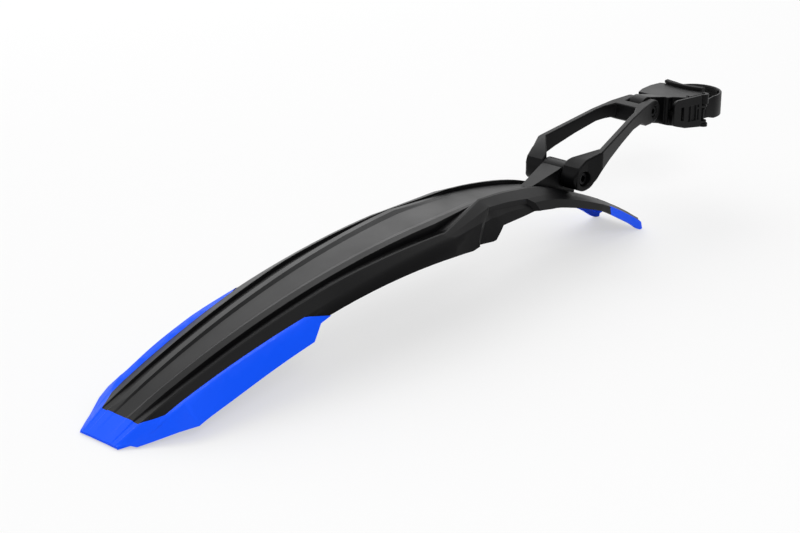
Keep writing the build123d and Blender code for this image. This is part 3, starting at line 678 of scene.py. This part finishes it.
@dataclass
class Strap:
    """Toothed strap band on its path round the seatpost, and its studded rubber liner."""

    finishes: Finishes
    # The band's two runs lean in by this angle and are measured back from the seatpost's axis
    run_angle_deg: float = 10.0
    inner_mm: float = 19.1
    thickness_mm: float = 2.0
    width_mm: float = 18.2
    ladder_mm: float = 15.0
    ladder_start_mm: float = 6.0
    taper_mm: float = 38.0
    tip_mm: float = 10.0
    run_mm: float = 50.0
    anchor_mm: float = 24.0
    edge_mm: float = 0.45
    edge_steps: int = 3
    arc_steps: int = 72
    fold_deg: float = 30.0
    tooth_pitch_mm: float = 3.0
    tooth_height_mm: float = 0.8
    tooth_land_mm: float = 0.3
    tooth_slope_mm: float = 2.4
    tooth_root_mm: float = 0.2
    tooth_width_mm: float = 10.0
    tooth_count: int = 14
    tooth_margin_mm: float = 1.7
    # The studs' tips lie on the bore, and the liner's back on the band
    bore_mm: float = 17.6
    liner_width_mm: float = 17.0
    liner_start_deg: float = -40.0
    liner_end_deg: float = 100.0
    liner_steps: int = 64
    liner_fold_deg: float = 40.0
    stud_height_mm: float = 0.5
    stud_radius_mm: float = 0.75
    stud_pitch_mm: float = 2.2
    stud_detail: int = 2

    def near(self, run: float, out: float) -> Vector:
        """Place a point on the near side.

        Args:
            run: Distance back along the side in millimetres.
            out: Distance out from the seatpost's axis in millimetres.

        Returns:
            The place in metres.
        """
        turn = math.radians(self.run_angle_deg)
        x = -run * math.cos(turn) - out * math.sin(turn)
        y = run * math.sin(turn) - out * math.cos(turn)
        return Vector((x, y, 0.0)) * MM

    def far(self, run: float, out: float) -> Vector:
        """Place the same point on the far side, in metres."""
        place = self.near(run, out)
        return Vector((place.x, -place.y, 0.0))

    def build(self) -> None:
        """Grow the band with its teeth, and the liner with its studs."""
        band = grown(
            "strap_band",
            self.band_tree(),
            self.band_values(),
            self.path(),
            self.fold_deg,
        )
        bpy.data.objects.remove(bpy.data.objects["strap_tooth"])
        settle(band, "strap", Body.CLAMP)
        liner = grown(
            "strap_liner_studded",
            self.liner_tree(),
            self.liner_values(),
            bpy.data.meshes.new("liner_seed"),
            self.liner_fold_deg,
        )
        settle(liner, "strap_liner", Body.CLAMP)

    def path(self) -> bpy.types.Curve:
        """Lay the band's middle line from its anchor round the seatpost to its tip.

        Returns:
            A curve of one open spline.
        """
        mid = self.inner_mm + self.thickness_mm / 2
        turn = math.radians(self.run_angle_deg)
        start, end = math.pi / 2 + turn, -math.pi / 2 - turn
        points = [self.far(self.anchor_mm, mid)]
        for i in range(self.arc_steps + 1):
            angle = start + (end - start) * i / self.arc_steps
            points.append(Vector((math.cos(angle), math.sin(angle), 0.0)) * mid * MM)
        cuts = (self.ladder_start_mm, self.taper_mm, self.run_mm)
        points += [self.near(run, mid) for run in cuts]
        points.insert(1, self.far(self.ladder_start_mm, mid))
        line = bpy.data.curves.new("strap_path", "CURVE")
        line.dimensions = "3D"
        spline = line.splines.new("POLY")
        spline.points.add(len(points) - 1)
        for point, place in zip(spline.points, points):
            point.co = (*place, 1.0)
        return line

    def widths(self) -> list[tuple[float, float]]:
        """Work out how the band's width changes along its path.

        Returns:
            Shares of the path's length, each with its share of the full width.
        """
        mid = self.inner_mm + self.thickness_mm / 2
        loop = mid * (math.pi + 2 * math.radians(self.run_angle_deg))
        whole = self.anchor_mm + loop + self.run_mm
        ladder = self.ladder_mm / self.width_mm
        front = self.anchor_mm + loop
        return [
            (0.0, ladder),
            ((self.anchor_mm - self.ladder_start_mm) / whole, ladder),
            (self.anchor_mm / whole, 1.0),
            (front / whole, 1.0),
            ((front + self.ladder_start_mm) / whole, ladder),
            ((front + self.taper_mm) / whole, ladder),
            (1.0, self.tip_mm / self.width_mm),
        ]

    def tooth(self) -> bpy.types.Object:
        """Make one ratchet tooth, steep on its tip side and sloped on the other.

        Returns:
            The tooth at the origin, turned to the near run.
        """
        outer = self.inner_mm + self.thickness_mm
        low, high = outer - self.tooth_root_mm, outer + self.tooth_height_mm
        half = self.tooth_width_mm / 2 * MM
        root = self.near(0.0, outer)
        profile = [
            (0.0, low),
            (0.0, high),
            (self.tooth_land_mm, high),
            (self.tooth_slope_mm, outer),
            (self.tooth_slope_mm, low),
        ]
        work = bmesh.new()
        rings = []
        for z in (-half, half):
            shift = Vector((0, 0, z)) - root
            rings.append([work.verts.new(self.near(run, out) + shift) for run, out in profile])
        work.faces.new(rings[0])
        work.faces.new(list(reversed(rings[1])))
        for i in range(len(profile)):
            j = (i + 1) % len(profile)
            work.faces.new((rings[0][j], rings[0][i], rings[1][i], rings[1][j]))
        bmesh.ops.recalc_face_normals(work, faces=work.faces)
        mesh = bpy.data.meshes.new("strap_tooth")
        work.to_mesh(mesh)
        work.free()
        tooth = bpy.data.objects.new("strap_tooth", mesh)
        bpy.context.scene.collection.objects.link(tooth)
        return tooth

    def band_values(self) -> dict[str, object]:
        """Work out what the band's tree takes.

        Returns:
            The tree's input values, in metres.
        """
        outer = self.inner_mm + self.thickness_mm
        first = self.near(self.run_mm - self.tooth_margin_mm, outer)
        step = self.near(-self.tooth_pitch_mm, 0.0)
        return {
            "Thickness": self.thickness_mm * MM,
            "Width": self.width_mm * MM,
            "Edge": self.edge_mm * MM,
            "Tooth": self.tooth(),
            "Teeth": self.tooth_count,
            "First": tuple(first),
            "Step": tuple(step),
            "Finish": self.finishes.black.material,
        }

    def band_tree(self) -> bpy.types.GeometryNodeTree:
        """Sweep a rounded strip along the path, narrow it, and set the teeth on its near run.

        Returns:
            The tree.
        """
        tree = new_tree(
            "strap_band",
            {
                "Thickness": Socket.NUMBER,
                "Width": Socket.NUMBER,
                "Edge": Socket.NUMBER,
                "Tooth": Socket.OBJECT,
                "Teeth": Socket.COUNT,
                "First": Socket.PLACE,
                "Step": Socket.PLACE,
                "Finish": Socket.MATERIAL,
            },
        )
        given = add_node(tree, "NodeGroupInput").outputs
        upright = add_node(
            tree,
            "GeometryNodeSetCurveNormal",
            links={"Curve": given["Geometry"]},
            mode="Z_UP",
        )
        along = add_node(tree, "GeometryNodeSplineParameter")
        kept = add_node(
            tree,
            "GeometryNodeCaptureAttribute",
            links={"Geometry": upright.outputs["Curve"]},
        )
        kept.capture_items.new("FLOAT", "Along")
        tree.links.new(along.outputs["Factor"], kept.inputs["Along"])
        strip = add_node(
            tree,
            "GeometryNodeCurvePrimitiveQuadrilateral",
            links={"Width": given["Thickness"], "Height": given["Width"]},
        )
        rounded = add_node(
            tree,
            "GeometryNodeFilletCurve",
            {"Count": self.edge_steps},
            {"Curve": strip.outputs["Curve"], "Radius": given["Edge"]},
            mode="POLY",
        )
        swept = add_node(
            tree,
            "GeometryNodeCurveToMesh",
            {"Fill Caps": True},
            {"Curve": kept.outputs["Geometry"], "Profile Curve": rounded.outputs["Curve"]},
        )
        # The full strip is drawn in towards its middle height by its share of the width
        share = add_node(tree, "ShaderNodeFloatCurve", links={"Value": kept.outputs["Along"]})
        curve = share.mapping.curves[0]
        widths = self.widths()
        while len(curve.points) < len(widths):
            curve.points.new(0.5, 0.5)
        for point, place in zip(curve.points, widths):
            point.location = place
            point.handle_type = "VECTOR"
        share.mapping.update()
        here = add_node(tree, "GeometryNodeInputPosition")
        parts = add_node(tree, "ShaderNodeSeparateXYZ", links={"Vector": here.outputs["Position"]})
        height = add_node(
            tree,
            "ShaderNodeMath",
            links={0: parts.outputs["Z"], 1: share.outputs["Value"]},
            operation="MULTIPLY",
        )
        place = add_node(
            tree,
            "ShaderNodeCombineXYZ",
            links={"X": parts.outputs["X"], "Y": parts.outputs["Y"], "Z": height.outputs["Value"]},
        )
        band = add_node(
            tree,
            "GeometryNodeSetPosition",
            links={"Geometry": swept.outputs["Mesh"], "Position": place.outputs["Vector"]},
        )
        row = add_node(
            tree,
            "GeometryNodeMeshLine",
            links={
                "Count": given["Teeth"],
                "Start Location": given["First"],
                "Offset": given["Step"],
            },
        )
        tooth = add_node(tree, "GeometryNodeObjectInfo", links={"Object": given["Tooth"]})
        teeth = add_node(
            tree,
            "GeometryNodeInstanceOnPoints",
            links={"Points": row.outputs["Mesh"], "Instance": tooth.outputs["Geometry"]},
        )
        whole = add_node(
            tree,
            "GeometryNodeJoinGeometry",
            links={"Geometry": band.outputs["Geometry"]},
        )
        tree.links.new(teeth.outputs["Instances"], whole.inputs["Geometry"])
        close_tree(tree, whole.outputs["Geometry"], given["Finish"])
        return tree

    def liner_values(self) -> dict[str, object]:
        """Work out what the liner's tree takes.

        Returns:
            The tree's input values, in metres and radians.
        """
        sweep = math.radians(self.liner_end_deg - self.liner_start_deg)
        face = self.bore_mm + self.stud_height_mm
        columns = int(sweep * face / self.stud_pitch_mm) - 1
        rows = int(self.liner_width_mm / self.stud_pitch_mm)
        return {
            "Middle Radius": (self.inner_mm + face) / 2 * MM,
            "Face Radius": face * MM,
            "Thickness": (self.inner_mm - face) * MM,
            "Width": self.liner_width_mm * MM,
            "Start": math.radians(self.liner_start_deg),
            "Sweep": sweep,
            "Columns": columns,
            "Rows": rows,
            "Row Length": (columns - 1) * self.stud_pitch_mm * MM,
            "Row Span": (rows - 1) * self.stud_pitch_mm * MM,
            "Pitch": self.stud_pitch_mm * MM,
            "Stud Radius": self.stud_radius_mm * MM,
            "Stud Height": self.stud_height_mm * MM,
            "Finish": self.finishes.rubber.material,
        }

    def liner_tree(self) -> bpy.types.GeometryNodeTree:
        """Sweep the liner's strip along its arc and set staggered studs on its inner face.

        Returns:
            The tree.
        """
        strip_sizes = ("Middle Radius", "Face Radius", "Thickness", "Width", "Start", "Sweep")
        stud_sizes = ("Row Length", "Row Span", "Pitch", "Stud Radius", "Stud Height")
        inputs = {name: Socket.NUMBER for name in strip_sizes + stud_sizes}
        inputs |= {"Columns": Socket.COUNT, "Rows": Socket.COUNT, "Finish": Socket.MATERIAL}
        tree = new_tree("strap_liner", inputs)
        given = add_node(tree, "NodeGroupInput").outputs
        arc = add_node(
            tree,
            "GeometryNodeCurveArc",
            {"Resolution": self.liner_steps},
            {
                "Radius": given["Middle Radius"],
                "Start Angle": given["Start"],
                "Sweep Angle": given["Sweep"],
            },
        )
        upright = add_node(
            tree,
            "GeometryNodeSetCurveNormal",
            links={"Curve": arc.outputs["Curve"]},
            mode="Z_UP",
        )
        strip = add_node(
            tree,
            "GeometryNodeCurvePrimitiveQuadrilateral",
            links={"Width": given["Thickness"], "Height": given["Width"]},
        )
        band = add_node(
            tree,
            "GeometryNodeCurveToMesh",
            {"Fill Caps": True},
            {"Curve": upright.outputs["Curve"], "Profile Curve": strip.outputs["Curve"]},
        )
        sheet = add_node(
            tree,
            "GeometryNodeMeshGrid",
            links={
                "Size X": given["Row Length"],
                "Size Y": given["Row Span"],
                "Vertices X": given["Columns"],
                "Vertices Y": given["Rows"],
            },
        )
        here = add_node(tree, "GeometryNodeInputPosition")
        flat = add_node(tree, "ShaderNodeSeparateXYZ", links={"Vector": here.outputs["Position"]})
        # Every other row of studs is shifted by half a pitch
        line = add_node(
            tree,
            "ShaderNodeMath",
            links={0: flat.outputs["Y"], 1: given["Pitch"]},
            operation="DIVIDE",
        )
        rank = add_node(tree, "ShaderNodeMath", links={0: line.outputs["Value"]}, operation="FLOOR")
        odd = add_node(
            tree, "ShaderNodeMath", {1: 2.0}, {0: rank.outputs["Value"]}, operation="FLOORED_MODULO"
        )
        half = add_node(tree, "ShaderNodeMath", {1: 0.5}, {0: given["Pitch"]}, operation="MULTIPLY")
        shifted = add_node(
            tree,
            "ShaderNodeMath",
            links={0: odd.outputs["Value"], 1: half.outputs["Value"], 2: flat.outputs["X"]},
            operation="MULTIPLY_ADD",
        )
        # The flat sheet of places is bent round the seatpost about the middle of the arc
        middle = add_node(
            tree,
            "ShaderNodeMath",
            {1: 0.5},
            {0: given["Sweep"], 2: given["Start"]},
            operation="MULTIPLY_ADD",
        )
        swing = add_node(
            tree,
            "ShaderNodeMath",
            links={0: shifted.outputs["Value"], 1: given["Face Radius"]},
            operation="DIVIDE",
        )
        angle = add_node(
            tree,
            "ShaderNodeMath",
            links={0: swing.outputs["Value"], 1: middle.outputs["Value"]},
            operation="ADD",
        )
        level = add_node(
            tree,
            "ShaderNodeCombineXYZ",
            links={"X": given["Face Radius"], "Z": flat.outputs["Y"]},
        )
        turned = add_node(
            tree,
            "ShaderNodeVectorRotate",
            links={"Vector": level.outputs["Vector"], "Angle": angle.outputs["Value"]},
            rotation_type="Z_AXIS",
        )
        bent = add_node(
            tree,
            "GeometryNodeSetPosition",
            links={"Geometry": sheet.outputs["Mesh"], "Position": turned.outputs["Vector"]},
        )
        # Each stud is a flattened ball that faces the seatpost's axis
        inwards = add_node(
            tree,
            "ShaderNodeVectorMath",
            {1: (-1.0, -1.0, 0.0)},
            {0: here.outputs["Position"]},
            operation="MULTIPLY",
        )
        facing = add_node(
            tree,
            "FunctionNodeAlignRotationToVector",
            links={"Vector": inwards.outputs["Vector"]},
            axis="Z",
        )
        stud = add_node(
            tree,
            "GeometryNodeMeshIcoSphere",
            {"Subdivisions": self.stud_detail},
            {"Radius": given["Stud Radius"]},
        )
        squash = add_node(
            tree,
            "ShaderNodeMath",
            links={0: given["Stud Height"], 1: given["Stud Radius"]},
            operation="DIVIDE",
        )
        scale = add_node(
            tree,
            "ShaderNodeCombineXYZ",
            {"X": 1.0, "Y": 1.0},
            {"Z": squash.outputs["Value"]},
        )
        studs = add_node(
            tree,
            "GeometryNodeInstanceOnPoints",
            links={
                "Points": bent.outputs["Geometry"],
                "Instance": stud.outputs["Mesh"],
                "Rotation": facing.outputs["Rotation"],
                "Scale": scale.outputs["Vector"],
            },
        )
        whole = add_node(tree, "GeometryNodeJoinGeometry", links={"Geometry": band.outputs["Mesh"]})
        tree.links.new(studs.outputs["Instances"], whole.inputs["Geometry"])
        close_tree(tree, whole.outputs["Geometry"], given["Finish"])
        return tree


@dataclass
class Buckle:
    """Ratchet lever with its drive pawl, the holding pawl, and both coil springs."""

    frame: dict
    finishes: Finishes
    lever_edge_mm: float = 0.35
    pawl_edge_mm: float = 0.2
    wire_mm: float = 0.6
    coil_radius_mm: float = 1.85
    coil_pitch_mm: float = 0.75
    coil_steps: int = 28
    wire_steps: int = 10
    coil_fold_deg: float = 60.0

    def build(self) -> None:
        """Dress the lever, the pawls and what turns with them."""
        skin = Skin(self.frame)
        skin.build("ratchet_lever", Body.LEVER, self.finishes.black, self.lever_edge_mm)
        skin.build("drive_pawl_pin", Body.LEVER, self.finishes.steel)
        skin.build("drive_pawl", Body.DRIVE_PAWL, self.finishes.black, self.pawl_edge_mm)
        skin.build("holding_pawl", Body.HOLDING_PAWL, self.finishes.black, self.pawl_edge_mm)
        tree = self.coil_tree()
        springs = (("drive_pawl_spring", Body.LEVER), ("holding_pawl_spring", Body.CLAMP))
        for node, body in springs:
            seed = bpy.data.meshes.new("coil_seed")
            coil = grown(f"{node}_coil", tree, self.coil_values(node), seed, self.coil_fold_deg)
            settle(coil, node, body)

    def coil_values(self, node: str) -> dict[str, object]:
        """Fit a coil in the box of its CAD node.

        Args:
            node: CAD node of the spring.

        Returns:
            The coil tree's input values, in metres.
        """
        low, high = (Vector(corner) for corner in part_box(node))
        height = high.z - low.z - self.wire_mm * MM
        return {
            "Radius": self.coil_radius_mm * MM,
            "Wire": self.wire_mm / 2 * MM,
            "Height": height,
            "Turns": height / (self.coil_pitch_mm * MM),
            "Foot": ((low.x + high.x) / 2, (low.y + high.y) / 2, low.z + self.wire_mm / 2 * MM),
            "Finish": self.finishes.steel.material,
        }

    def coil_tree(self) -> bpy.types.GeometryNodeTree:
        """Sweep round wire along a spiral.

        Returns:
            The tree.
        """
        inputs = {name: Socket.NUMBER for name in ("Radius", "Wire", "Height", "Turns")}
        inputs |= {"Foot": Socket.PLACE, "Finish": Socket.MATERIAL}
        tree = new_tree("spring_coil", inputs)
        given = add_node(tree, "NodeGroupInput").outputs
        spiral = add_node(
            tree,
            "GeometryNodeCurveSpiral",
            {"Resolution": self.coil_steps},
            {
                "Rotations": given["Turns"],
                "Start Radius": given["Radius"],
                "End Radius": given["Radius"],
                "Height": given["Height"],
            },
        )
        wire = add_node(
            tree,
            "GeometryNodeCurvePrimitiveCircle",
            {"Resolution": self.wire_steps},
            {"Radius": given["Wire"]},
        )
        coil = add_node(
            tree,
            "GeometryNodeCurveToMesh",
            {"Fill Caps": True},
            {"Curve": spiral.outputs["Curve"], "Profile Curve": wire.outputs["Curve"]},
        )
        placed = add_node(
            tree,
            "GeometryNodeTransform",
            links={"Geometry": coil.outputs["Mesh"], "Translation": given["Foot"]},
        )
        close_tree(tree, placed.outputs["Geometry"], given["Finish"])
        return tree


@dataclass(frozen=True)
class Lamp:
    """A square lamp, with its place and side in metres and its power in watts."""

    name: str
    at: tuple[float, float, float]
    size: float
    power: float


@dataclass
class Studio:
    """Pale floor, soft lamps, surround and the camera."""

    floor_z: float
    # Places are in metres, and the lens and its sensor in millimetres
    eye: tuple[float, float, float] = (-1.29568, -0.84837, 0.44504)
    yaw_deg: float = 42.10
    pitch_deg: float = 21.04
    lens: float = 88.07
    sensor: float = 36.0
    sight: float = 100.0
    aim: tuple[float, float, float] = (-0.35, 0.0, -0.03)
    back_softbox: Lamp = Lamp("back_softbox", (0.7, 1.8, 1.5), 2.0, 23.0)
    front_fill: Lamp = Lamp("front_fill", (-1.5, -1.9, 1.9), 1.0, 27.0)
    bright_way: tuple[float, float, float] = (0.42, 0.76, 0.5)
    bright_span: tuple[float, float] = (-0.6, 1.0)
    dim: float = 0.06
    bright: float = 1.4
    surround: str = "#FFFFFF"
    floor_size: float = 30.0
    paper: str = "#F4F4F4"
    white: str = "#F3F3F3"
    lift: float = 0.6

    def build(self) -> None:
        """Set the floor, the lamps, the world and the camera."""
        self.floor()
        for lamp in (self.back_softbox, self.front_fill):
            self.hang(lamp)
        self.world()
        self.camera()

    def floor(self) -> None:
        """Lay a wide pale floor just under the part."""
        work = bmesh.new()
        bmesh.ops.create_grid(work, x_segments=1, y_segments=1, size=self.floor_size)
        mesh = bpy.data.meshes.new("studio_floor")
        work.to_mesh(mesh)
        work.free()
        mesh.transform(Matrix.Translation((0, 0, self.floor_z)))
        plane = bpy.data.objects.new("studio_floor", mesh)
        bpy.context.scene.collection.objects.link(plane)
        paint = bpy.data.materials.new("studio_paper")
        paint.use_nodes = True
        tree = paint.node_tree
        tree.nodes.clear()
        matt = add_node(tree, "ShaderNodeBsdfDiffuse", {"Color": linear(self.paper)})
        glow = add_node(tree, "ShaderNodeEmission", {"Color": linear(self.white)})
        # What looks at the paper sees it nearly white, with the part's shadow left faint
        path = add_node(tree, "ShaderNodeLightPath")
        sees = add_node(
            tree,
            "ShaderNodeMath",
            links={0: path.outputs["Is Camera Ray"], 1: path.outputs["Is Glossy Ray"]},
            operation="MAXIMUM",
        )
        looks = add_node(
            tree,
            "ShaderNodeMath",
            links={0: sees.outputs["Value"], 1: path.outputs["Is Transmission Ray"]},
            operation="MAXIMUM",
        )
        share = add_node(
            tree, "ShaderNodeMapRange", {"To Max": self.lift}, {"Value": looks.outputs["Value"]}
        )
        mixed = add_node(
            tree,
            "ShaderNodeMixShader",
            links={
                0: share.outputs["Result"],
                1: matt.outputs["BSDF"],
                2: glow.outputs["Emission"],
            },
        )
        add_node(tree, "ShaderNodeOutputMaterial", links={"Surface": mixed.outputs["Shader"]})
        mesh.materials.append(paint)
        plane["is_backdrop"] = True

    def hang(self, lamp: Lamp) -> None:
        """Hang a lamp so that it looks at the part.

        Args:
            lamp: The lamp to hang.
        """
        data = bpy.data.lights.new(lamp.name, "AREA")
        data.size = lamp.size
        data.energy = lamp.power
        hung = bpy.data.objects.new(lamp.name, data)
        hung.location = lamp.at
        way = Vector(self.aim) - Vector(lamp.at)
        hung.rotation_euler = way.to_track_quat("-Z", "Y").to_euler()
        bpy.context.scene.collection.objects.link(hung)

    def world(self) -> None:
        """Give a pale surround that is brighter high up behind the part."""
        world = bpy.data.worlds.new("studio_surround")
        world.use_nodes = True
        tree = world.node_tree
        back = tree.nodes["Background"]
        back.inputs["Color"].default_value = linear(self.surround)
        way = add_node(tree, "ShaderNodeTexCoord")
        toward = add_node(
            tree,
            "ShaderNodeVectorMath",
            {1: Vector(self.bright_way).normalized()},
            {0: way.outputs["Generated"]},
            operation="DOT_PRODUCT",
        )
        low, high = self.bright_span
        strength = add_node(
            tree,
            "ShaderNodeMapRange",
            {"From Min": low, "From Max": high, "To Min": self.dim, "To Max": self.bright},
            {"Value": toward.outputs["Value"]},
        )
        tree.links.new(strength.outputs["Result"], back.inputs["Strength"])
        bpy.context.scene.world = world

    def camera(self) -> None:
        """Stand the camera where the photograph was taken."""
        data = bpy.data.cameras.new("camera")
        data.lens = self.lens
        data.sensor_width = self.sensor
        data.clip_end = self.sight
        eye = bpy.data.objects.new("camera", data)
        yaw, pitch = math.radians(self.yaw_deg), math.radians(self.pitch_deg)
        level = math.cos(pitch)
        look = Vector((level * math.cos(yaw), level * math.sin(yaw), -math.sin(pitch)))
        eye.location = self.eye
        eye.rotation_euler = look.to_track_quat("-Z", "Y").to_euler()
        bpy.context.scene.collection.objects.link(eye)
        bpy.context.scene.camera = eye


def main() -> None:
    """Build the studio and every sub-assembly in order."""
    logging.basicConfig(level=logging.INFO, format="%(message)s")
    bpy.ops.wm.read_factory_settings(use_empty=True)
    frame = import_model()
    cad_box = [list(corner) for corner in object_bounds()]
    bpy.context.scene.view_settings.view_transform = "Standard"
    finishes = Finishes()
    Studio(floor_z=cad_box[0][2]).build()
    Blade(frame, finishes).build()
    Arm(frame, finishes).build()
    Clamp(frame, finishes).build()
    Strap(finishes).build()
    Buckle(frame, finishes).build()


if __name__ == "__main__":
    main()
